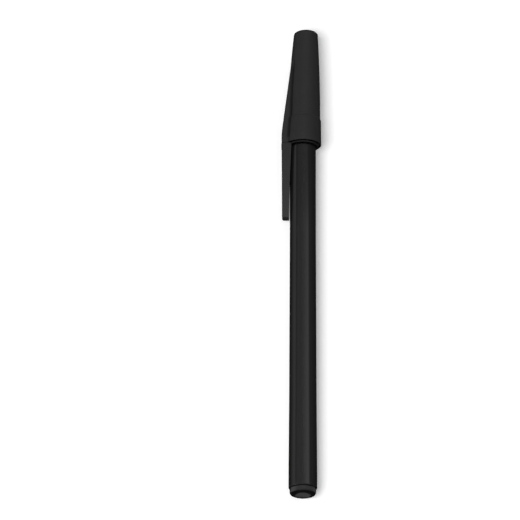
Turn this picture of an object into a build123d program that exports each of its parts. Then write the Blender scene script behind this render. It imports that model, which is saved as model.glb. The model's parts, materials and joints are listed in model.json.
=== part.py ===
from build123d import *
import math
import os

# A capped stick ballpoint pen lying on a table. Sizes are in millimetres and degrees.
# Each piece is drawn on the pen's own axis, Z, with height 0 at the barrel's rear end, the cap
# upwards and the clip towards -X. The rest pose at the end lays the pieces down along +Y.

# Fits between pieces
fit_clearance = 0.03
cap_clearance = 0.08
ball_clearance = 0.015

# Barrel: a tube with a straight front, a slow taper, a flare and a straight rear stretch
barrel_length = 119.5
barrel_diameter = 7.76
barrel_flare_diameter = 8.1
barrel_rear_diameter = 8.46
rear_stretch = 5.0
flare_length = 23.0
taper_length = 52.0
barrel_bore = 5.3
barrel_edge_radius = 0.3

# End plug: a collar on the barrel's rear end with a dished end, and a hollow spigot in the bore
plug_collar_step = 0.32
plug_collar_length = 2.0
plug_edge_radius = 0.45
plug_rim_width = 0.8
plug_dish_depth = 0.9
plug_spigot_length = 7.0
plug_spigot_wall = 1.0
plug_spigot_chamfer = 0.3
plug_floor = 1.2
plug_vent_diameter = 0.9

# Nose cone: the point holder, with a spigot in the barrel's front and a tapered nose
nose_step = 0.3
nose_collar_length = 1.6
nose_length = 14.0
nose_tip_diameter = 3.0
nose_bulge = 0.25
nose_spigot_length = 10.0
nose_socket_depth = 8.0
nose_feed_diameter = 1.2

# Writing point: a turned metal socket with a stem in the nose and a cone that holds the ball
point_diameter = 2.3
point_cylinder_length = 2.2
point_cone_length = 3.4
point_lip = 0.08
point_stem_diameter = 1.9
point_stem_length = 5.0
point_feed_diameter = 0.6

# Ball
ball_diameter = 1.0
ball_stand_out = 0.3

# Ink tube and ink: the tube ends short of the plug, and the ink leaves the tube's rear empty
tube_diameter = 3.2
tube_bore = 2.2
tube_rear_gap = 6.5
ink_head_space = 26.0

# Cap: an outer shell with a band round its mouth and an inner collar that runs on the barrel
cap_overlap = 11.5
tip_room = 4.0
crown_wall = 1.3
crown_diameter = 7.1
crown_offset = 0.9
crown_edge_radius = 0.9
crown_vent_diameter = 2.4
shell_wall = 1.0
shell_bulge = 0.15
band_length = 8.2
band_step = 0.25
band_draft = 0.28
band_edge_radius = 0.2
collar_wall = 0.89
collar_stand_out = 0.25
groove_width = 0.35
groove_depth = 1.2
rim_wall = 0.3

# Clip: a fin on the cap's side that carries on past the mouth as a free arm
clip_reach = 23.3
clip_gap = 0.78
clip_tip_gap = 0.62
clip_rise = 0.88
clip_peak_below_mouth = 1.0
clip_shoulder_length = 11.0
clip_shoulder_drop = 0.19
clip_root_width = 6.4
clip_root_sink = 0.6
clip_tip_width = 3.0
clip_tip_thickness = 1.62
clip_edge_radius = 0.5
fin_length = 28.0
fin_width = 5.2
fin_sink = 0.19
fin_root_depth = 0.5
fin_bend_length = 4.6
fin_bend_drop = 0.19

# Radii and heights that follow from the sizes above
barrel_radius = barrel_diameter / 2
flare_radius = barrel_flare_diameter / 2
rear_radius = barrel_rear_diameter / 2
bore_radius = barrel_bore / 2
cap_bore_radius = barrel_radius + cap_clearance
collar_radius = cap_bore_radius + collar_wall
groove_radius = collar_radius + groove_width
band_radius = groove_radius + rim_wall
band_top_radius = band_radius - band_draft
shell_radius = band_top_radius - band_step
crown_radius = crown_diameter / 2
nose_radius = barrel_radius - nose_step
nose_tip_radius = nose_tip_diameter / 2
ball_radius = ball_diameter / 2
plug_radius = rear_radius - plug_collar_step
socket_radius = ball_radius + ball_clearance

mouth_height = barrel_length - cap_overlap
band_top = mouth_height + band_length
peak_height = mouth_height - clip_peak_below_mouth
peak_radius = band_radius + clip_rise
nose_tip_height = barrel_length + nose_length
point_end = nose_tip_height + point_cylinder_length + point_cone_length
ball_height = point_end + ball_stand_out - ball_radius
crown_floor = point_end + tip_room
crown_height = crown_floor + crown_wall
socket_floor = barrel_length - nose_spigot_length + nose_socket_depth
tube_rear = plug_spigot_length + tube_rear_gap


def turned(*outline):
    """A solid of revolution about the pen's axis, from corners of (radius, height)."""
    profile = make_face(Plane.XZ * Polyline(*outline, close=True))
    return revolve(profile, Axis.Z)


def rod(radius, low, high):
    """A round rod on the pen's axis between two heights."""
    return Pos(0, 0, (low + high) / 2) * Cylinder(radius, high - low)


def rim(solid, height, radius):
    """The circular edges of a solid at one height and radius."""
    def lies_there(edge):
        flat = abs(edge.center(CenterOf.BOUNDING_BOX).Z - height) < 1e-4
        return flat and abs(edge.radius - radius) < 1e-3
    return solid.edges().filter_by(GeomType.CIRCLE).filter_by(lies_there)


def make_barrel():
    tube = turned(
        (bore_radius, 0),
        (rear_radius, 0),
        (rear_radius, rear_stretch),
        (flare_radius, rear_stretch + flare_length),
        (barrel_radius, rear_stretch + flare_length + taper_length),
        (barrel_radius, barrel_length),
        (bore_radius, barrel_length),
    )
    ends = rim(tube, 0, rear_radius) + rim(tube, barrel_length, barrel_radius)
    return fillet(ends, barrel_edge_radius)


def make_end_plug():
    spigot_radius = bore_radius - fit_clearance
    dish_radius = plug_radius - plug_rim_width
    dish_sphere = (dish_radius**2 + plug_dish_depth**2) / (2 * plug_dish_depth)
    collar = rod(plug_radius, -plug_collar_length, 0)
    collar = fillet(rim(collar, -plug_collar_length, plug_radius), plug_edge_radius)
    collar -= Pos(0, 0, plug_dish_depth - plug_collar_length - dish_sphere) * Sphere(dish_sphere)
    spigot = rod(spigot_radius, 0, plug_spigot_length)
    spigot = chamfer(rim(spigot, plug_spigot_length, spigot_radius), plug_spigot_chamfer)
    hollow = rod(spigot_radius - plug_spigot_wall, plug_floor, plug_spigot_length)
    vent = rod(plug_vent_diameter / 2, -plug_collar_length, plug_spigot_length)
    return collar + spigot - hollow - vent


def make_nose_cone():
    spigot_rear = barrel_length - nose_spigot_length
    spigot_radius = bore_radius - fit_clearance
    taper_start = barrel_length + nose_collar_length
    middle = (taper_start + nose_tip_height) / 2
    middle_radius = (nose_radius + nose_tip_radius) / 2 + nose_bulge
    outline = Polyline(
        (nose_tip_radius, nose_tip_height),
        (0, nose_tip_height),
        (0, spigot_rear),
        (spigot_radius, spigot_rear),
        (spigot_radius, barrel_length),
        (nose_radius, barrel_length),
        (nose_radius, taper_start),
    )
    taper = ThreePointArc(
        (nose_radius, taper_start),
        (middle_radius, middle),
        (nose_tip_radius, nose_tip_height),
    )
    nose = revolve(make_face(Plane.XZ * (outline + taper)), Axis.Z)
    socket = rod(tube_diameter / 2 + fit_clearance, spigot_rear, socket_floor)
    stem_floor = nose_tip_height - point_stem_length
    stem_hole = rod(point_stem_diameter / 2 + fit_clearance, stem_floor, nose_tip_height)
    feed = rod(nose_feed_diameter / 2, socket_floor, stem_floor)
    return nose - socket - stem_hole - feed


def make_writing_point():
    cone_start = nose_tip_height + point_cylinder_length
    lip_radius = math.sqrt(socket_radius**2 - (point_end - ball_height)**2) + point_lip
    body = turned(
        (0, nose_tip_height - point_stem_length),
        (point_stem_diameter / 2, nose_tip_height - point_stem_length),
        (point_stem_diameter / 2, nose_tip_height),
        (point_diameter / 2, nose_tip_height),
        (point_diameter / 2, cone_start),
        (lip_radius, point_end),
        (0, point_end),
    )
    feed = rod(point_feed_diameter / 2, nose_tip_height - point_stem_length, ball_height)
    return body - feed - Pos(0, 0, ball_height) * Sphere(socket_radius)


def make_ball():
    return Pos(0, 0, ball_height) * Sphere(ball_radius)


def make_ink_tube():
    wall = rod(tube_diameter / 2, tube_rear, socket_floor)
    return wall - rod(tube_bore / 2, tube_rear, socket_floor)


def make_ink_column():
    return rod(tube_bore / 2 - fit_clearance, tube_rear + ink_head_space, socket_floor)


def cap_offset(height):
    """How far the cap's round section stands from the pen's axis, away from the clip."""
    return crown_offset * (height - mouth_height) / (crown_height - mouth_height)


def cap_section(height, radius):
    return Pos(cap_offset(height), 0, height) * Circle(radius)


def shell_radius_at(height):
    """The cap's outer radius above the band: a cone with a slight swell."""
    share = (height - band_top) / (crown_height - band_top)
    straight = shell_radius + (crown_radius - shell_radius) * share
    return straight + 4 * shell_bulge * share * (1 - share)


def make_cap_bore():
    """The room inside the cap: a bore for the barrel, then a taper round the nose."""
    bore = rod(cap_bore_radius, mouth_height - clip_reach, barrel_length + cap_clearance)
    taper_start = Pos(0, 0, barrel_length + cap_clearance) * Circle(cap_bore_radius)
    taper_end = cap_section(crown_floor, shell_radius_at(crown_floor) - shell_wall)
    vent = rod(crown_vent_diameter / 2, crown_floor - crown_wall, crown_height + crown_wall)
    return bore + loft([taper_start, taper_end]) + Pos(cap_offset(crown_height), 0, 0) * vent


def make_cap_shell():
    middle = (band_top + crown_height) / 2
    shell = loft([cap_section(h, shell_radius_at(h)) for h in (band_top, middle, crown_height)])
    crown_edge = shell.edges().group_by(Axis.Z)[-1]
    shell = fillet(crown_edge, crown_edge_radius)
    mouth = cap_section(mouth_height, band_radius)
    band = loft([mouth, cap_section(band_top, band_top_radius)])
    band = fillet(band.edges().group_by(Axis.Z)[0], band_edge_radius)
    groove = rod(groove_radius, mouth_height, mouth_height + groove_depth)
    groove -= rod(collar_radius, mouth_height, mouth_height + groove_depth)
    collar = rod(collar_radius, mouth_height - collar_stand_out, mouth_height)
    return shell + band - groove + collar


def make_clip():
    """The fin and the arm: a side outline cut to a plan that is widest at the mouth."""
    tip = mouth_height - clip_reach
    arm_start = mouth_height - clip_shoulder_length
    fin_end = mouth_height + fin_length
    fin_bend = mouth_height + fin_bend_length
    tip_inner = barrel_radius + clip_tip_gap
    tip_outer = tip_inner + clip_tip_thickness
    slot_end = mouth_height - collar_stand_out
    arm_outer = peak_radius - clip_shoulder_drop
    bend_radius = peak_radius - fin_bend_drop
    fin_radius = shell_radius_at(fin_end) - cap_offset(fin_end) - fin_sink
    root_radius = cap_bore_radius - clip_root_sink
    fin_line = Line((-fin_radius, fin_end), (-bend_radius, fin_bend))
    arm_line = Line((-arm_outer, arm_start), (-tip_outer, tip))
    shoulder = Spline(
        (-bend_radius, fin_bend),
        (-peak_radius, peak_height),
        (-arm_outer, arm_start),
        tangents=[fin_line % 1, arm_line % 0],
    )
    inside = Polyline(
        (-tip_outer, tip),
        (-root_radius, tip),
        (-root_radius, barrel_length),
        (-fin_radius + fin_root_depth, fin_end),
        (-fin_radius, fin_end),
    )
    side = make_face(Plane.XZ * (fin_line + shoulder + arm_line + inside))
    plan_corners = [
        (clip_tip_width / 2, tip),
        (clip_root_width / 2, mouth_height),
        (clip_root_width / 2, band_top),
        (fin_width / 2, fin_end),
    ]
    mirrored = [(-across, height) for across, height in reversed(plan_corners)]
    plan = make_face(Plane.YZ * Polyline(*plan_corners, *mirrored, close=True))
    clip = extrude(side, clip_root_width, both=True) & extrude(plan, 2 * peak_radius, both=True)
    outer_faces = clip.faces().filter_by(lambda face: face.normal_at().X < -0.7)
    long_edges = outer_faces.edges().filter_by(Axis.Y, reverse=True)
    clip = fillet(long_edges, clip_edge_radius)
    slot = turned((0, tip), (tip_inner, tip), (barrel_radius + clip_gap, slot_end), (0, slot_end))
    return clip - slot


def make_cap():
    return make_cap_shell() + make_clip() - make_cap_bore()


def rest_pose():
    """The pen lying on a table: it rests on its rear edge, the cap's band and the clip's shoulder."""
    rear_contact = barrel_edge_radius
    band_contact = mouth_height + band_edge_radius
    slope = math.atan2(band_radius - rear_radius, band_contact - rear_contact)
    height = rear_radius * math.cos(slope) - rear_contact * math.sin(slope)
    across = clip_root_width / 2 - clip_edge_radius
    outwards = peak_radius - clip_edge_radius
    axis_above_table = height + peak_height * math.sin(slope)
    drop = (axis_above_table - clip_edge_radius) / math.hypot(outwards, across)
    roll = math.asin(drop) - math.atan2(across, outwards)
    tilt = Rot(math.degrees(slope), 0, 0) * Rot(0, -math.degrees(roll), 0) * Rot(-90, 0, 0)
    return Pos(0, 0, height) * tilt


pieces = {
    "barrel": make_barrel(),
    "end_plug": make_end_plug(),
    "nose_cone": make_nose_cone(),
    "writing_point": make_writing_point(),
    "ball": make_ball(),
    "ink_tube": make_ink_tube(),
    "ink_column": make_ink_column(),
    "cap": make_cap(),
}

# The origin lies on the table under the middle of the pen
laid_down = {name: rest_pose() * piece for name, piece in pieces.items()}
middle = Compound(children=list(laid_down.values())).bounding_box().center()
place = Pos(-middle.X, -middle.Y, 0) * rest_pose()

os.makedirs("parts", exist_ok=True)
for name, piece in pieces.items():
    export_step(place * piece, f"parts/{name}.step")


def on_table(x, y, height):
    return tuple(round(value, 5) for value in (place * Pos(x, y, height)).position)


print("ball centre", on_table(0, 0, ball_height))
print("mouth centre", on_table(0, 0, mouth_height))
print("barrel rear centre", on_table(0, 0, 0))
print("rear stretch middle", on_table(0, 0, rear_stretch / 2))
print("plug rim", on_table(0, plug_radius - (plug_rim_width + plug_edge_radius) / 2, -plug_collar_length))
print("crown face", on_table(cap_offset(crown_height), crown_radius / 2, crown_height))
print("clip slot", on_table(-barrel_radius, 0, mouth_height - clip_reach))
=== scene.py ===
import json
import math

import bpy
from mathutils import Matrix, Vector


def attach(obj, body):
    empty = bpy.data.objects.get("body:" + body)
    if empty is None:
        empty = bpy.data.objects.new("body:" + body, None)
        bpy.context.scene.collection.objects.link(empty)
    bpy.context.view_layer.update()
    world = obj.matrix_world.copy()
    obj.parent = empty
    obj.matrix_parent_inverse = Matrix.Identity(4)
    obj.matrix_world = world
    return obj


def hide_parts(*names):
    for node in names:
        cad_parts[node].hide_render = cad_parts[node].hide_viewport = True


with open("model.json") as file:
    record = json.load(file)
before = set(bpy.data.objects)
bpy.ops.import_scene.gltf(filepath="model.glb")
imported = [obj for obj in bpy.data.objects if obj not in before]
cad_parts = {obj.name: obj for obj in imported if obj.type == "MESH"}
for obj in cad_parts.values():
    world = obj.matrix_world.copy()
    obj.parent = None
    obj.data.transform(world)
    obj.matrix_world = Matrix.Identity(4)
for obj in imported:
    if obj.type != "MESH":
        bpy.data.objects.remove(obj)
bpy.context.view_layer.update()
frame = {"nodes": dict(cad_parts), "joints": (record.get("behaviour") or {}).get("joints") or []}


# Barrel: the opaque tube that the hand holds, moulded in one piece from glossy black plastic.
# It is straight at the front, tapers out slowly and flares to a straight rear stretch. All the
# other pieces are pushed into it or onto it. Sizes are in millimetres from its rear end.
MM = 0.001
BALL_HEIGHT = 138.9
BARREL_LENGTH = 119.5
BARREL_RADIUS = 3.88
BORE_RADIUS = 2.65
FLARE_RADIUS = 4.05
REAR_RADIUS = 4.222
FRONT_START = 80.0
FLARE_START = 28.0
REAR_START = 5.0
BARREL_EDGE = 0.3
EDGE_RING = 0.6
ROUND_STEPS = 160
MERGE_GAP = 1e-4
RING_GAP = 1e-3
NOISE_DETAIL = 3.0

joints = {joint["name"]: joint for joint in frame["joints"]}
along = Vector(joints["cap_pull"]["axis"])
across = Vector(joints["ball_roll"]["axis"])
rear_end = Vector(joints["ball_roll"]["pos_m"]) - BALL_HEIGHT * MM * along
pen_turn = Matrix((across, along.cross(across), along)).transposed()
pen_place = Matrix.Translation(rear_end) @ pen_turn.to_4x4()


def turned(name, outline, steps=ROUND_STEPS):
    """Spins an outline of (radius, height) corners round the pen's axis, as on a lathe."""
    bpy.ops.object.select_all(action="DESELECT")
    bpy.ops.mesh.primitive_plane_add(size=1)
    piece = bpy.context.object
    piece.name = piece.data.name = name
    bpy.ops.object.mode_set(mode="EDIT")
    bpy.ops.mesh.select_mode(type="VERT")
    bpy.ops.mesh.select_all(action="SELECT")
    bpy.ops.mesh.merge(type="CENTER")
    here = Vector((0, 0, 0))
    starts_on_axis = outline[0][0] == 0
    path = outline if starts_on_axis else outline + outline[:1]
    for number, (radius, height) in enumerate(path):
        step = Vector((radius, 0, height)) - here
        if number == 0:
            bpy.ops.transform.translate(value=step)
        else:
            bpy.ops.mesh.extrude_region_move(TRANSFORM_OT_translate={"value": step})
        here += step
    bpy.ops.mesh.select_all(action="SELECT")
    bpy.ops.mesh.remove_doubles(threshold=MERGE_GAP)
    bpy.ops.mesh.spin(steps=steps, angle=math.tau, center=(0, 0, 0), axis=(0, 0, 1))
    bpy.ops.mesh.select_all(action="SELECT")
    bpy.ops.mesh.remove_doubles(threshold=MERGE_GAP)
    bpy.ops.mesh.normals_make_consistent(inside=False)
    bpy.ops.object.mode_set(mode="OBJECT")
    return piece


def bevel_edges(piece, chosen, width, segments):
    """Bevels the edges whose two ends are both chosen."""
    bpy.ops.object.mode_set(mode="EDIT")
    bpy.ops.mesh.select_mode(type="EDGE")
    bpy.ops.mesh.select_all(action="DESELECT")
    bpy.ops.object.mode_set(mode="OBJECT")
    points = piece.data.vertices
    for edge in piece.data.edges:
        edge.select = all(chosen(points[end]) for end in edge.vertices)
    bpy.ops.object.mode_set(mode="EDIT")
    bpy.ops.mesh.bevel(offset=width, segments=segments, affect="EDGES")
    bpy.ops.object.mode_set(mode="OBJECT")


def soften(piece, rings, width, segments):
    """Rounds sharp rings of a turned piece, each ring given by its radius and height."""

    def lies_on_ring(vertex):
        radius = math.hypot(vertex.co.x, vertex.co.y)
        return any(abs(radius - r) + abs(vertex.co.z - h) < RING_GAP for r, h in rings)

    bevel_edges(piece, lies_on_ring, width, segments)


def lay_down(piece, sharp_angle=30):
    """Takes a piece from the upright axis, in millimetres, to its place, in metres."""
    bpy.ops.object.select_all(action="DESELECT")
    piece.select_set(True)
    bpy.context.view_layer.objects.active = piece
    piece.matrix_world = pen_place @ Matrix.Scale(MM, 4)
    bpy.ops.object.transform_apply(location=True, rotation=True, scale=True)
    bpy.ops.object.shade_smooth_by_angle(angle=math.radians(sharp_angle))


class Shade:
    """An output socket of a material's node. A sum with it adds a Math node to the material."""

    def __init__(self, socket):
        self.socket = socket

    def node(self, kind, settings=None, sockets=None, output=0):
        """Adds a node: its settings first, then the values or links of its sockets."""
        tree = self.socket.id_data
        added = tree.nodes.new(kind)
        for name, value in (settings or {}).items():
            if name == "stops":
                set_stops(added.color_ramp, value)
            else:
                setattr(added, name, value)
        for name, value in (sockets or {}).items():
            if isinstance(value, Shade):
                tree.links.new(value.socket, added.inputs[name])
            else:
                added.inputs[name].default_value = value
        return Shade(added.outputs[output])

    def maths(self, operation, first, second):
        return self.node("ShaderNodeMath", {"operation": operation}, {0: first, 1: second})

    def __add__(self, other):
        return self.maths("ADD", self, other)

    __radd__ = __add__

    def __sub__(self, other):
        return self.maths("SUBTRACT", self, other)

    def __rsub__(self, other):
        return self.maths("SUBTRACT", other, self)

    def __mul__(self, other):
        return self.maths("MULTIPLY", self, other)

    __rmul__ = __mul__


def grey(level):
    """A plain grey, from 0 for black to 1 for white."""
    return (level, level, level)


def set_stops(ramp, stops):
    """Gives a colour ramp its stops of (place, level of grey)."""
    while len(ramp.elements) < len(stops):
        ramp.elements.new(1.0)
    for element, (place, level) in zip(ramp.elements, stops):
        element.position = place
        element.color = (*grey(level), 1)


def new_material(name, constants):
    """A material whose main shader has these constants. Gives it with its shader and its place,
    which reads millimetres on the pen's own axes."""
    material = bpy.data.materials.new(name)
    material.use_nodes = True
    shader = material.node_tree.nodes["Principled BSDF"]
    for socket, value in constants.items():
        shader.inputs[socket].default_value = value
    coordinates = material.node_tree.nodes.new("ShaderNodeTexCoord")
    place = Shade(coordinates.outputs["Object"]).node(
        "ShaderNodeMapping",
        {"vector_type": "TEXTURE"},
        {
            "Vector": Shade(coordinates.outputs["Object"]),
            "Location": rear_end,
            "Rotation": pen_turn.to_euler(),
            "Scale": (MM, MM, MM),
        },
    )
    return material, shader, place


def feed(shader, socket, value):
    """Links a varying value to a socket of a shader."""
    shader.id_data.links.new(value.socket, shader.inputs[socket])


def noise(place, scale, stretch=(1, 1, 1)):
    """Smooth noise from 0 to 1, in patches of about 1 / scale millimetres, drawn out by stretch."""
    drawn = place.node("ShaderNodeMapping", None, {"Vector": place, "Scale": stretch})
    return drawn.node(
        "ShaderNodeTexNoise", None, {"Vector": drawn, "Scale": scale, "Detail": NOISE_DETAIL}
    )


def mixed(share, first, second):
    """A colour between two colours."""
    return share.node(
        "ShaderNodeMix",
        {"data_type": "RGBA"},
        {"Factor": share, "A": (*first, 1), "B": (*second, 1)},
        output="Result",
    )


def gloss(place, stops):
    """Gloss that changes as the face turns away from the viewer, from 0 square on to 1 edge on."""
    facing = place.node("ShaderNodeLayerWeight", None, {"Blend": 0.5}, output="Facing")
    return facing.node("ShaderNodeValToRGB", {"stops": stops}, {"Fac": facing})


def bumped(height, strength, distance):
    """A normal from a height in metres."""
    return height.node(
        "ShaderNodeBump", None, {"Height": height, "Strength": strength, "Distance": distance}
    )


HARD_GLOSS = [(0.0, 1.0), (0.13, 1.0), (0.19, 0.4), (0.28, 0.3), (0.38, 0.16), (0.52, 0.015)]

barrel = turned(
    "barrel_tube",
    [
        (BORE_RADIUS, 0),
        (REAR_RADIUS, 0),
        (REAR_RADIUS, EDGE_RING),
        (REAR_RADIUS, REAR_START),
        (FLARE_RADIUS, FLARE_START),
        (BARREL_RADIUS, FRONT_START),
        (BARREL_RADIUS, BARREL_LENGTH),
        (BORE_RADIUS, BARREL_LENGTH),
    ],
)
barrel_rims = [(REAR_RADIUS, 0), (BARREL_RADIUS, BARREL_LENGTH)]
soften(barrel, barrel_rims, BARREL_EDGE, segments=4)
lay_down(barrel)

barrel_plastic, shader, place = new_material(
    "barrel_plastic", {"Specular IOR Level": 0.0, "Coat Roughness": 0.18, "Coat IOR": 1.6}
)
flow = noise(place, scale=0.9, stretch=(1, 1, 0.03))
grain = noise(place, scale=9.0)
feed(shader, "Base Color", mixed(flow, grey(0.007), grey(0.011)))
feed(shader, "Roughness", 0.3 + 0.1 * grain)
feed(shader, "Coat Weight", gloss(place, HARD_GLOSS))
feed(shader, "Normal", bumped(grain, strength=0.05, distance=0.00005))
barrel.data.materials.append(barrel_plastic)
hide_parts("barrel")
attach(barrel, "pen")


# Nose cone: the point holder, moulded in the barrel's plastic. Its spigot is pressed into the
# barrel's front, and its hollow holds the ink tube at the rear and the metal point at the tip.
FIT = 0.03
NOSE_RADIUS = 3.58
NOSE_COLLAR = 1.6
NOSE_TIP = 133.5
NOSE_TIP_RADIUS = 1.5
NOSE_BULGE = 0.25
NOSE_REAR = 109.5
SOCKET_FLOOR = 117.5
SOCKET_RADIUS = 1.63
FEED_RADIUS = 0.6
STEM_FLOOR = 128.5
STEM_RADIUS = 0.95
NOSE_ROWS = 14
NOSE_EDGE = 0.12


def bowed(share):
    """How far a bow swings out along its length: 0 at its ends and 1 in the middle."""
    return 4 * share * (1 - share)


taper_start = BARREL_LENGTH + NOSE_COLLAR
nose_taper = []
for share in [row / NOSE_ROWS for row in range(NOSE_ROWS + 1)]:
    radius = NOSE_RADIUS + (NOSE_TIP_RADIUS - NOSE_RADIUS) * share + NOSE_BULGE * bowed(share)
    nose_taper.append((radius, taper_start + (NOSE_TIP - taper_start) * share))
nose = turned(
    "point_holder",
    [
        (SOCKET_RADIUS, NOSE_REAR),
        (BORE_RADIUS - FIT, NOSE_REAR),
        (BORE_RADIUS - FIT, BARREL_LENGTH),
        (NOSE_RADIUS, BARREL_LENGTH),
        *nose_taper,
        (STEM_RADIUS + FIT, NOSE_TIP),
        (STEM_RADIUS + FIT, STEM_FLOOR),
        (FEED_RADIUS, STEM_FLOOR),
        (FEED_RADIUS, SOCKET_FLOOR),
        (SOCKET_RADIUS, SOCKET_FLOOR),
    ],
)
nose_rims = [(NOSE_RADIUS, BARREL_LENGTH), (NOSE_TIP_RADIUS, NOSE_TIP)]
soften(nose, nose_rims, NOSE_EDGE, segments=3)
lay_down(nose)

nose_plastic, shader, place = new_material(
    "nose_plastic", {"Specular IOR Level": 0.0, "Coat Roughness": 0.12}
)
grain = noise(place, scale=7.0)
feed(shader, "Base Color", mixed(grain, grey(0.007), grey(0.011)))
feed(shader, "Roughness", 0.28 + 0.1 * grain)
feed(shader, "Coat Weight", gloss(place, HARD_GLOSS))
feed(shader, "Normal", bumped(grain, strength=0.04, distance=0.00005))
nose.data.materials.append(nose_plastic)
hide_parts("nose_cone")
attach(nose, "pen")


# Writing point: a brass socket turned on a lathe. Its stem is pressed into the nose, and the lip
# of its cone is rolled over the ball. The lathe leaves fine rings round it.
POINT_RADIUS = 1.15
CONE_START = 135.7
POINT_END = 139.1
BALL_RADIUS = 0.5
SEAT_RADIUS = 0.515
POINT_LIP = 0.08
POINT_FEED = 0.3
POINT_EDGE = 0.05
SEAT_ROWS = 6

lip = math.sqrt(SEAT_RADIUS**2 - (POINT_END - BALL_HEIGHT) ** 2)
seat_top = math.atan2(POINT_END - BALL_HEIGHT, lip)
seat_bottom = -math.acos(POINT_FEED / SEAT_RADIUS)
seat = [seat_top + (seat_bottom - seat_top) * row / SEAT_ROWS for row in range(SEAT_ROWS + 1)]
point = turned(
    "point_socket",
    [
        (POINT_FEED, STEM_FLOOR),
        (STEM_RADIUS, STEM_FLOOR),
        (STEM_RADIUS, NOSE_TIP),
        (POINT_RADIUS, NOSE_TIP),
        (POINT_RADIUS, CONE_START),
        (lip + POINT_LIP, POINT_END),
        *[(SEAT_RADIUS * math.cos(a), BALL_HEIGHT + SEAT_RADIUS * math.sin(a)) for a in seat],
    ],
    steps=96,
)
point_rims = [(POINT_RADIUS, CONE_START), (POINT_RADIUS, NOSE_TIP)]
soften(point, point_rims, POINT_EDGE, segments=2)
lay_down(point)

point_brass, shader, place = new_material("point_brass", {"Metallic": 1.0})
rings = noise(place, scale=1.0, stretch=(0.01, 0.01, 30))
tarnish = noise(place, scale=1.2)
feed(shader, "Base Color", mixed(tarnish, (0.78, 0.60, 0.30), (0.66, 0.48, 0.22)))
feed(shader, "Roughness", 0.16 + 0.16 * rings)
feed(shader, "Normal", bumped(rings, strength=0.15, distance=0.00002))
point.data.materials.append(point_brass)
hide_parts("writing_point")
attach(point, "pen")


# Ball: hard metal, ground round and polished, free to roll in the point's seat. A film of ink
# lies on it in patches.
BALL_ROWS = 24

ball = turned(
    "rolling_ball",
    [
        (
            0 if row in (0, BALL_ROWS) else BALL_RADIUS * math.sin(math.pi * row / BALL_ROWS),
            BALL_HEIGHT - BALL_RADIUS * math.cos(math.pi * row / BALL_ROWS),
        )
        for row in range(BALL_ROWS + 1)
    ],
    steps=48,
)
lay_down(ball, sharp_angle=180)

ball_metal, shader, place = new_material("ball_metal", {"Metallic": 1.0})
film = noise(place, scale=2.5)
feed(shader, "Base Color", mixed(film, (0.66, 0.66, 0.67), (0.42, 0.42, 0.45)))
feed(shader, "Roughness", 0.1 + 0.12 * film)
ball.data.materials.append(ball_metal)
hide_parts("ball")
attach(ball, "ball")


# Ink tube and ink: a thin pale tube pushed into the nose, and the black ink that stands in it.
# Both are plain round lengths, kept as they are.
tube_plastic, shader, place = new_material("tube_plastic", {"Roughness": 0.35})
cloud = noise(place, scale=0.6)
feed(shader, "Base Color", mixed(cloud, (0.84, 0.85, 0.83), (0.78, 0.79, 0.77)))
tube = frame["nodes"]["ink_tube"]
tube.data.materials.clear()
tube.data.materials.append(tube_plastic)

ink, shader, place = new_material("ink", {"Roughness": 0.2})
streaks = noise(place, scale=1.4, stretch=(1, 1, 0.1))
feed(shader, "Base Color", mixed(streaks, (0.010, 0.010, 0.015), (0.016, 0.016, 0.024)))
column = frame["nodes"]["ink_column"]
column.data.materials.clear()
column.data.materials.append(ink)


# End plug: a black plastic stopper whose hollow spigot is pressed into the barrel's rear. Its
# collar is narrower than the barrel, and its end is dished round a small vent. A ring over its
# rim and rounded edge is matt, and painted darker there as shade.
PLUG_RADIUS = 3.91
PLUG_LENGTH = 2.0
PLUG_EDGE_LENGTH = 0.9
PLUG_EDGE_DEPTH = 0.85
PLUG_EDGE_ROWS = 8
NECK_RADIUS = 3.55
NECK_LENGTH = 0.16
NECK_EDGE = 0.06
DISH_RADIUS = 2.45
DISH_DEPTH = 0.95
DISH_EDGE = 0.12
DISH_ROWS = 8
SPIGOT_LENGTH = 7.0
SPIGOT_WALL = 1.0
SPIGOT_FLOOR = 1.2
SPIGOT_CHAMFER = 0.3
VENT_RADIUS = 0.45
PLUG_GREY = 0.022
# The darker grey below is painted shade, laid on the ring over the plug's rim and rounded edge.
PAINTED_SHADE_GREY = 0.008
SHADE_RING_REACH = 5.0
MATT_SHADE_RING = [(2.375, 0.0), (2.475, 1.0), (3.725, 1.0), (3.835, 0.0)]
PLUG_GLOSS = [(0.0, 0.8), (0.25, 0.8), (0.45, 0.5), (0.6, 0.3), (0.645, 0.01)]

dish_ball = (DISH_RADIUS**2 + DISH_DEPTH**2) / (2 * DISH_DEPTH)
dish = []
for row in range(DISH_ROWS + 1):
    radius = VENT_RADIUS + (DISH_RADIUS - VENT_RADIUS) * row / DISH_ROWS
    rise = math.sqrt(dish_ball**2 - radius**2) - dish_ball
    dish.append((radius, DISH_DEPTH - PLUG_LENGTH + rise))
rounding = []
for row in range(PLUG_EDGE_ROWS + 1):
    turn = math.pi / 2 * row / PLUG_EDGE_ROWS
    inwards = PLUG_EDGE_DEPTH * (1 - math.sin(turn))
    back = PLUG_EDGE_LENGTH * (1 - math.cos(turn))
    rounding.append((PLUG_RADIUS - inwards, back - PLUG_LENGTH))
spigot = BORE_RADIUS - FIT
plug = turned(
    "end_stopper",
    [
        *dish,
        *rounding,
        (PLUG_RADIUS, -NECK_LENGTH),
        (NECK_RADIUS, -NECK_LENGTH),
        (NECK_RADIUS, 0),
        (spigot, 0),
        (spigot, SPIGOT_LENGTH),
        (spigot - SPIGOT_WALL, SPIGOT_LENGTH),
        (spigot - SPIGOT_WALL, SPIGOT_FLOOR),
        (VENT_RADIUS, SPIGOT_FLOOR),
    ],
)
soften(plug, [(PLUG_RADIUS, -NECK_LENGTH)], NECK_EDGE, segments=2)
soften(plug, [(spigot, SPIGOT_LENGTH)], SPIGOT_CHAMFER, segments=1)
soften(plug, [(DISH_RADIUS, -PLUG_LENGTH)], DISH_EDGE, segments=2)
lay_down(plug)

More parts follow.
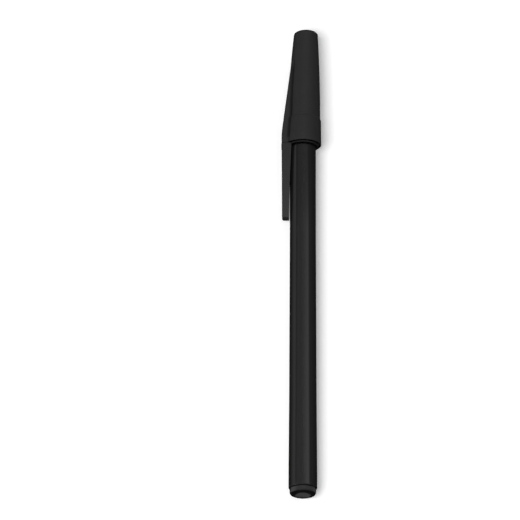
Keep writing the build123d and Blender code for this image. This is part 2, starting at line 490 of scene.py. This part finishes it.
plug_plastic, shader, place = new_material(
    "plug_plastic", {"Specular IOR Level": 0.0, "Coat Roughness": 0.4}
)
grain = noise(place, scale=6.0)
sideways = place.node("ShaderNodeVectorMath", {"operation": "MULTIPLY"}, {0: place, 1: (1, 1, 0)})
from_axis = sideways.node(
    "ShaderNodeVectorMath", {"operation": "LENGTH"}, {0: sideways}, output="Value"
)
# A ring over the plug's rim and rounded edge: matt, and painted darker as shade.
matt_painted_shade = from_axis.node(
    "ShaderNodeValToRGB",
    {"stops": [(radius / SHADE_RING_REACH, level) for radius, level in MATT_SHADE_RING]},
    {"Fac": 1 / SHADE_RING_REACH * from_axis},
)
plain = (1 - matt_painted_shade) * (0.7 + 0.3 * grain)
# The base colour holds painted shade on the rim ring and a random tone elsewhere.
feed(shader, "Base Color", mixed(plain, grey(PAINTED_SHADE_GREY), grey(PLUG_GREY)))
feed(shader, "Roughness", 0.45 + 0.15 * grain)
feed(shader, "Coat Weight", (1 - matt_painted_shade) * gloss(place, PLUG_GLOSS))
feed(shader, "Normal", bumped(grain, strength=0.08, distance=0.00006))
plug.data.materials.append(plug_plastic)
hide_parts("end_plug")
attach(plug, "pen")


# Cap: one satin black moulding that leans away from its clip, with a band round its mouth and a
# collar inside that grips the barrel. The clip is a fin that goes on past the mouth as a free arm,
# coloured lighter towards its tip. A fine line across it shows where the halves of the mould met.
MOUTH = 108.12
BAND_TOP = 116.2
CROWN = 144.4
CROWN_FLOOR = 143.1
CROWN_RADIUS = 3.55
CROWN_EDGE = 0.9
CROWN_VENT = 1.2
VENT_EDGE = 0.15
CROWN_LEAN = 0.9
SHELL_RADIUS = 4.97
SHELL_BULGE = 0.2
SHELL_WALL = 1.0
BAND_RADIUS = 5.492
BAND_TOP_RADIUS = 5.22
BAND_EDGE = 0.2
BAND_STEP = 0.9
BAND_STEP_ROW = 0.07
CAP_BORE = 3.96
BORE_END = 119.58
COLLAR_RADIUS = 4.78
COLLAR_LENGTH = 0.4
COLLAR_NECK = 4.2
COLLAR_STAND_OUT = 0.45
GROOVE_RADIUS = 5.27
GROOVE_DEPTH = 0.5
MOUTH_FUNNEL = 0.25
FUNNEL_LENGTH = 0.7
CLIP_TIP = 84.7
ARM_START = 97.0
CLIP_PEAK = 107.0
FIN_BEND = 112.6
FIN_END = 136.0
TIP_OUT = 6.22
ARM_OUT = 6.28
PEAK_OUT = 6.35
BEND_OUT = 6.22
FIN_SINK = 0.19
TIP_HALF = 1.5
MOUTH_HALF = 3.2
FIN_HALF = 2.45
CLIP_EDGE = 0.5
FIN_ROUND = 0.4
FIN_HOLLOW = 0.12
CREASE_INSET = 0.1
CREASE_DROP = 0.6
CREASE_SPAN = 1.2
CREASE_STEEP = 3.5
FIN_FADE = 5.0
EDGE_COLUMN = math.radians(30)
CREASE_COLUMN = math.radians(38.25)
SLOT_TIP = 4.41
SLOT_MOUTH = 4.66
SLOT_STEP = 0.36
SLOT_START = CLIP_TIP - 1
CLOSE = 0.01
CAP_STEPS = 480
CAP_ROW = 0.7


def between(low, high, step):
    """Heights from low to high in equal steps of about the given size."""
    count = max(1, round((high - low) / step))
    return [low + (high - low) * row / count for row in range(count + 1)]


def smooth(share):
    """A share, held between 0 and 1, that starts and ends gently."""
    share = min(1, max(0, share))
    return share * share * (3 - 2 * share)


def lean(height):
    """How far the cap's round wall stands from the pen's axis, away from the clip."""
    return CROWN_LEAN * (height - MOUTH) / (CROWN - MOUTH)


def wall_radius(height):
    """The radius of the cap's wall: the band, a soft step, then a cone with a slight swell."""
    band = BAND_RADIUS + (BAND_TOP_RADIUS - BAND_RADIUS) * (height - MOUTH) / (BAND_TOP - MOUTH)
    share = (height - BAND_TOP) / (CROWN - BAND_TOP)
    shell = SHELL_RADIUS + (CROWN_RADIUS - SHELL_RADIUS) * share + SHELL_BULGE * bowed(share)
    return band + (shell - band) * smooth((height - BAND_TOP) / BAND_STEP + 0.5)


def eased(height, low, high):
    """A curve between two points of (height, value, slope)."""
    (start, first, rise), (end, last, fall) = low, high
    span, change = end - start, last - first
    share = (height - start) / span
    bend = (1 - share) * rise * span - share * fall * span + (2 * share - 1) * change
    return first + change * share + share * (1 - share) * bend


fin_out = wall_radius(FIN_END) - lean(FIN_END) - FIN_SINK
fin_slope = (fin_out - BEND_OUT) / (FIN_END - FIN_BEND)
arm_slope = (ARM_OUT - TIP_OUT) / (ARM_START - CLIP_TIP)


def clip_out(height):
    """How far the clip's outer face stands from the pen's axis."""
    if height > FIN_BEND:
        return BEND_OUT + fin_slope * (height - FIN_BEND)
    if height > CLIP_PEAK:
        return eased(height, (CLIP_PEAK, PEAK_OUT, 0), (FIN_BEND, BEND_OUT, fin_slope))
    if height > ARM_START:
        return eased(height, (ARM_START, ARM_OUT, arm_slope), (CLIP_PEAK, PEAK_OUT, 0))
    return TIP_OUT + arm_slope * (height - CLIP_TIP)


def clip_half(height):
    """Half the clip's width: widest at the mouth, narrower to the fin's top and to the tip."""
    if height < MOUTH:
        return TIP_HALF + (MOUTH_HALF - TIP_HALF) * (height - CLIP_TIP) / (MOUTH - CLIP_TIP)
    share = max(0, height - BAND_TOP) / (FIN_END - BAND_TOP)
    return MOUTH_HALF + (FIN_HALF - MOUTH_HALF) * share


def blend_low(first, second, width):
    """The lower of two values, with the corner between them rounded."""
    return (first + second - math.hypot(first - second, width)) / 2


def fin_share(height):
    """How much of the fin stands out: all of it, dying out at its top."""
    return smooth((FIN_END - height) / FIN_FADE)


def creased(out, side, height, wall):
    """Cuts the crease beside the fin: its flank slopes down to it, the wall stands up steeply."""
    half = clip_half(height)
    floor = math.sqrt(wall**2 - half**2) - CREASE_INSET
    slope = max(0, 1 - (out - floor) / CREASE_SPAN)
    drop = CREASE_DROP * (slope**2 if out > floor else 1)
    top = half - drop + CREASE_STEEP * max(0, floor - out)
    begins = min(1, max(0, height - MOUTH - GROOVE_DEPTH - BAND_EDGE))
    return side - max(0, side - top) * begins * fin_share(height)


def fin_radius(angle, height, wall):
    """The radius of the wall with its fin, at an angle from the clip's middle."""
    out, half = clip_out(height) + lean(height), clip_half(height)
    edge, crease = math.atan2(half, out), math.asin(half / wall)
    share = min(1, max(0, (angle - edge) / (crease - edge)))
    half -= FIN_HOLLOW * bowed(share)
    face, flank = out / max(math.cos(angle), CLOSE), half / max(math.sin(angle), CLOSE)
    fin = blend_low(face, flank, FIN_ROUND)
    return wall + (max(wall, fin) - wall) * fin_share(height)


def fin_angle(column, height, wall):
    """Moves the mesh's columns so that one runs along the fin's edge and one along its crease."""
    out, half = clip_out(height) + lean(height), clip_half(height)
    marks = [
        (0, 0),
        (EDGE_COLUMN, math.atan2(half, out)),
        (CREASE_COLUMN, math.asin(half / wall)),
        (math.pi, math.pi),
    ]
    for (start, first), (end, last) in zip(marks, marks[1:]):
        if column <= end:
            return first + (last - first) * (column - start) / (end - start)
    return column


step_low, step_high = BAND_TOP - BAND_STEP / 2, BAND_TOP + BAND_STEP / 2
wall_heights = [
    *between(MOUTH, step_low, CAP_ROW),
    *between(step_low, step_high, BAND_STEP_ROW)[1:],
    *between(step_high, CROWN, CAP_ROW)[1:],
]
collar_end = MOUTH - COLLAR_STAND_OUT
cap = turned(
    "cap_with_clip",
    [
        *[(wall_radius(height), height) for height in wall_heights],
        (CROWN_VENT, CROWN),
        (CROWN_VENT, CROWN_FLOOR),
        (wall_radius(CROWN_FLOOR) - SHELL_WALL, CROWN_FLOOR),
        (CAP_BORE, BORE_END),
        (CAP_BORE, collar_end + FUNNEL_LENGTH),
        (CAP_BORE + MOUTH_FUNNEL, collar_end),
        (COLLAR_RADIUS, collar_end),
        (COLLAR_RADIUS, collar_end + COLLAR_LENGTH),
        (COLLAR_NECK, MOUTH + GROOVE_DEPTH),
        (GROOVE_RADIUS, MOUTH + GROOVE_DEPTH),
        (GROOVE_RADIUS, MOUTH),
    ],
    steps=CAP_STEPS,
)
soften(cap, [(CROWN_RADIUS, CROWN)], CROWN_EDGE, segments=8)
soften(cap, [(BAND_RADIUS, MOUTH)], BAND_EDGE, segments=3)
soften(cap, [(CROWN_VENT, CROWN)], VENT_EDGE, segments=2)

for vertex in cap.data.vertices:
    x, y, height = vertex.co
    radius = math.hypot(x, y)
    wall = wall_radius(max(height, MOUTH))
    outside = radius > wall - BAND_EDGE - CLOSE and height > MOUTH - CLOSE
    if outside and height < FIN_END:
        angle = fin_angle(math.atan2(abs(y), -x), height, radius)
        drawn = fin_radius(angle, height, radius) if angle < math.pi / 2 else radius
        out, side = drawn * math.cos(angle), drawn * math.sin(angle)
        vertex.co.x = -out
        if out > 0:
            side = creased(out, side, height, radius)
        vertex.co.y = math.copysign(side, y)
    if outside or height > BORE_END + CLOSE:
        vertex.co.x += lean(height)

LINE_DEPTH = 0.1
LINE_SIDE = 0.3
LINE_HEIGHT = 0.25
ARM_ROOT = 1.5
ARM_INSIDE = 3.0
ARM_ROW = 2.5
ARM_BEND_ROW = 0.6


def arm_section(height):
    """How far out the arm's face stands and half its width: both smaller above the mould line."""
    above = height > MOUTH - LINE_HEIGHT / 2
    return clip_out(height) - LINE_DEPTH * above, clip_half(height) - LINE_SIDE * above


arm_heights = [
    *between(CLIP_TIP, ARM_START, ARM_ROW),
    *between(ARM_START, MOUTH - LINE_HEIGHT, ARM_BEND_ROW)[1:],
    MOUTH,
    MOUTH + ARM_ROOT,
]
bpy.ops.object.select_all(action="DESELECT")
bpy.ops.mesh.primitive_plane_add(size=1, location=(0, 0, 0))
arm = bpy.context.object
arm.name = arm.data.name = "clip_arm"
bpy.ops.object.mode_set(mode="EDIT")
bpy.ops.mesh.select_mode(type="FACE")
bpy.ops.mesh.select_all(action="SELECT")
last_out, last_half = arm_section(CLIP_TIP)
bpy.ops.transform.resize(value=(last_out - ARM_INSIDE, 2 * last_half, 1))
bpy.ops.transform.translate(value=(-(last_out + ARM_INSIDE) / 2, 0, CLIP_TIP))
for last_height, height in zip(arm_heights, arm_heights[1:]):
    out, half = arm_section(height)
    bpy.ops.mesh.extrude_region_move(
        TRANSFORM_OT_translate={"value": (0, 0, height - last_height)}
    )
    thicken, widen = (out - ARM_INSIDE) / (last_out - ARM_INSIDE), half / last_half
    bpy.ops.transform.resize(
        value=(thicken, widen, 1), center_override=(-ARM_INSIDE, 0, height)
    )
    last_out, last_half = out, half
bpy.ops.mesh.select_all(action="SELECT")
bpy.ops.mesh.normals_make_consistent(inside=False)
bpy.ops.object.mode_set(mode="OBJECT")


def on_outer_edge(vertex):
    """Whether a corner of the arm lies on one of its two outer edges."""
    out, half = arm_section(vertex.co.z)
    return abs(vertex.co.x + out) < CLOSE and abs(abs(vertex.co.y) - half) < CLOSE


bevel_edges(arm, on_outer_edge, CLIP_EDGE, segments=5)

slot = turned(
    "clip_slot",
    [
        (0, SLOT_START),
        (SLOT_TIP, SLOT_START),
        (SLOT_MOUTH, collar_end),
        (SLOT_MOUTH - SLOT_STEP, collar_end),
        (SLOT_MOUTH - SLOT_STEP, MOUTH + 2 * ARM_ROOT),
        (0, MOUTH + 2 * ARM_ROOT),
    ],
    steps=240,
)


def combine(piece, other, operation):
    """Cuts a piece by another or joins the two into one closed mesh."""
    bpy.ops.object.select_all(action="DESELECT")
    piece.select_set(True)
    bpy.context.view_layer.objects.active = piece
    modifier = piece.modifiers.new("combine", "BOOLEAN")
    modifier.operation = operation
    modifier.solver = "MANIFOLD"
    modifier.object = other
    bpy.ops.object.modifier_apply(modifier="combine")
    bpy.data.objects.remove(other)


combine(arm, slot, "DIFFERENCE")
combine(cap, arm, "UNION")
lay_down(cap)

CAP_GREY = 0.018
TIP_GREY = 0.0355
LIGHTENING_START = 111.0
CAP_GLOSS = [(0.0, 0.5), (0.1, 0.4), (0.15, 0.3), (0.28, 0.12), (0.55, 0.01)]

cap_plastic, shader, place = new_material(
    "cap_plastic", {"Specular IOR Level": 0.0, "Coat Roughness": 0.45}
)
grain = noise(place, scale=5.0)
cloud = noise(place, scale=0.25)
up_pen = place.node("ShaderNodeSeparateXYZ", None, {"Vector": place}, output="Z")
# The cap's grey turns lighter from just above the mouth down to the clip's tip.
tip_lightening = up_pen.node(
    "ShaderNodeMapRange", None, {"Value": up_pen, "From Min": LIGHTENING_START, "From Max": CLIP_TIP}
)
feed(shader, "Base Color", mixed(0.2 * cloud + 0.8 * tip_lightening, grey(CAP_GREY), grey(TIP_GREY)))
feed(shader, "Roughness", 0.48 + 0.14 * grain)
feed(shader, "Coat Weight", gloss(place, CAP_GLOSS))
feed(shader, "Normal", bumped(grain, strength=0.1, distance=0.00006))
cap.data.materials.clear()
cap.data.materials.append(cap_plastic)
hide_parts("cap")
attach(cap, "cap")


# Table: a plain white sheet that the pen lies on. It is white to the camera and in reflections,
# and takes the pen's shadow.
TABLE_SIZE = 6.0
TABLE_GREY = 0.9
TABLE_GLOW = 0.225

bpy.ops.object.select_all(action="DESELECT")
bpy.ops.mesh.primitive_plane_add(size=TABLE_SIZE)
table = bpy.context.object
table.name = "table"
white_sheet = bpy.data.materials.new("white_sheet")
white_sheet.use_nodes = True
shader = white_sheet.node_tree.nodes["Principled BSDF"]
shader.inputs["Base Color"].default_value = (*grey(TABLE_GREY), 1)
shader.inputs["Roughness"].default_value = 0.9
shader.inputs["Specular IOR Level"].default_value = 0.0
rays = white_sheet.node_tree.nodes.new("ShaderNodeLightPath")
seen = Shade(rays.outputs["Is Camera Ray"]) + Shade(rays.outputs["Is Glossy Ray"])
seen = seen + Shade(rays.outputs["Is Transmission Ray"])
shader.inputs["Emission Strength"].default_value = 1.0
feed(shader, "Emission Color", TABLE_GLOW * seen)
table.data.materials.append(white_sheet)


# Camera: a long lens behind the pen's rear end and above it, square to the clip's side. Its place
# is in millimetres from the rear end, and its turns are in degrees.
CAMERA_BEHIND = 652.2
CAMERA_ABOVE = 1950.0
CAMERA_PITCH = 20.365
CAMERA_YAW = 0.351
CAMERA_LENS = 484.5

towards = across.cross(along)
pitch = math.radians(CAMERA_PITCH)
yaw = math.radians(CAMERA_YAW)
ahead = math.sin(pitch) * along - math.cos(pitch) * towards
up = math.cos(pitch) * along + math.sin(pitch) * towards
view = math.cos(yaw) * ahead - math.sin(yaw) * across
right = view.cross(up)
lens = bpy.data.cameras.new("photo_camera")
lens.lens = CAMERA_LENS
lens.sensor_width = 36.0
lens.clip_end = 100.0
camera = bpy.data.objects.new("photo_camera", lens)
camera_place = rear_end + MM * (CAMERA_ABOVE * towards - CAMERA_BEHIND * along)
camera_turn = Matrix((right, up, -view)).transposed()
camera.matrix_world = Matrix.Translation(camera_place) @ camera_turn.to_4x4()
bpy.context.scene.collection.objects.link(camera)
bpy.context.scene.camera = camera


# Light: a soft lamp on the camera's left lights the table and casts the shadow on the right, and
# another, from above and the cap's end, lights the pen. Each is screened off from the rest. The
# room is dim grey with a few lighter panels, and a softbox on the right makes the barrel's streak.
TABLE_LAMP_LEVEL = 3.1
TABLE_LAMP_ANGLE = 24
TABLE_LAMP_LEFT = 0.21
PEN_LAMP_LEVEL = 2.7
PEN_LAMP_ANGLE = 30
PEN_LAMP_FORWARD = 0.42
PEN_LAMP_RIGHT = 0.05
SOFTBOX_LEVEL = 0.65
SOFTBOX_SIDE = [(0.0, 0.0), (0.62, 1.0), (0.68, 1.0), (0.82, 0.0)]
SOFTBOX_LENGTH = [(0.12, 0.0), (0.22, 1.0), (0.32, 1.0), (0.38, 0.2), (0.55, 0.0)]
WALL_BEHIND = [(-0.94, 0.9), (-0.86, 0.12), (-0.05, 0.16)]
WALL_ABOVE = [(0.1, 0.5), (0.2, 0.45), (0.3, 0.14), (0.335, 0.4), (0.352, 0.44), (0.375, 0.14)]
WALL_AHEAD = [(0.5, 0.14), (0.62, 0.4)]


def screened_lamp(name, level, angle, direction, lit):
    """A soft lamp from far away in a direction, screened so that it lights only some pieces."""
    lamp = bpy.data.objects.new(name, bpy.data.lights.new(name, "SUN"))
    lamp.data.energy = level
    lamp.data.angle = math.radians(angle)
    lamp.rotation_euler = direction.to_track_quat("Z", "Y").to_euler()
    lamp.visible_glossy = False
    screen = bpy.data.collections.new(name)
    for piece in lit:
        screen.objects.link(piece)
    lamp.light_linking.receiver_collection = screen
    bpy.context.scene.collection.objects.link(lamp)


screened_lamp(
    "table_lamp",
    TABLE_LAMP_LEVEL,
    TABLE_LAMP_ANGLE,
    -ahead - TABLE_LAMP_LEFT * across,
    [table],
)
screened_lamp(
    "pen_lamp",
    PEN_LAMP_LEVEL,
    PEN_LAMP_ANGLE,
    towards + PEN_LAMP_FORWARD * along + PEN_LAMP_RIGHT * across,
    [barrel, nose, point, ball, tube, column, plug, cap],
)


def share_along(direction, axis):
    """How far a direction points along an axis, from -1 to 1."""
    return direction.node(
        "ShaderNodeVectorMath",
        {"operation": "DOT_PRODUCT"},
        {0: direction, 1: axis},
        output="Value",
    )


def graded(share, stops):
    """A level that follows a share from -1 to 1 through stops of (share, level)."""
    stops = [((at + 1) / 2, level) for at, level in stops]
    return share.node("ShaderNodeValToRGB", {"stops": stops}, {"Fac": 0.5 * share + 0.5})


room = bpy.data.worlds.new("room")
bpy.context.scene.world = room
room.use_nodes = True
coordinates = room.node_tree.nodes.new("ShaderNodeTexCoord")
direction = Shade(coordinates.outputs["Generated"])
rightwards = share_along(direction, across)
forwards = share_along(direction, along)
walls = graded(forwards, WALL_BEHIND + WALL_ABOVE + WALL_AHEAD)
softbox = graded(rightwards, SOFTBOX_SIDE) * graded(forwards, SOFTBOX_LENGTH)
background = room.node_tree.nodes["Background"]
background.inputs["Color"].default_value = (1, 1, 1, 1)
feed(background, "Strength", walls + SOFTBOX_LEVEL * softbox)

bpy.context.scene.view_settings.view_transform = "Standard"
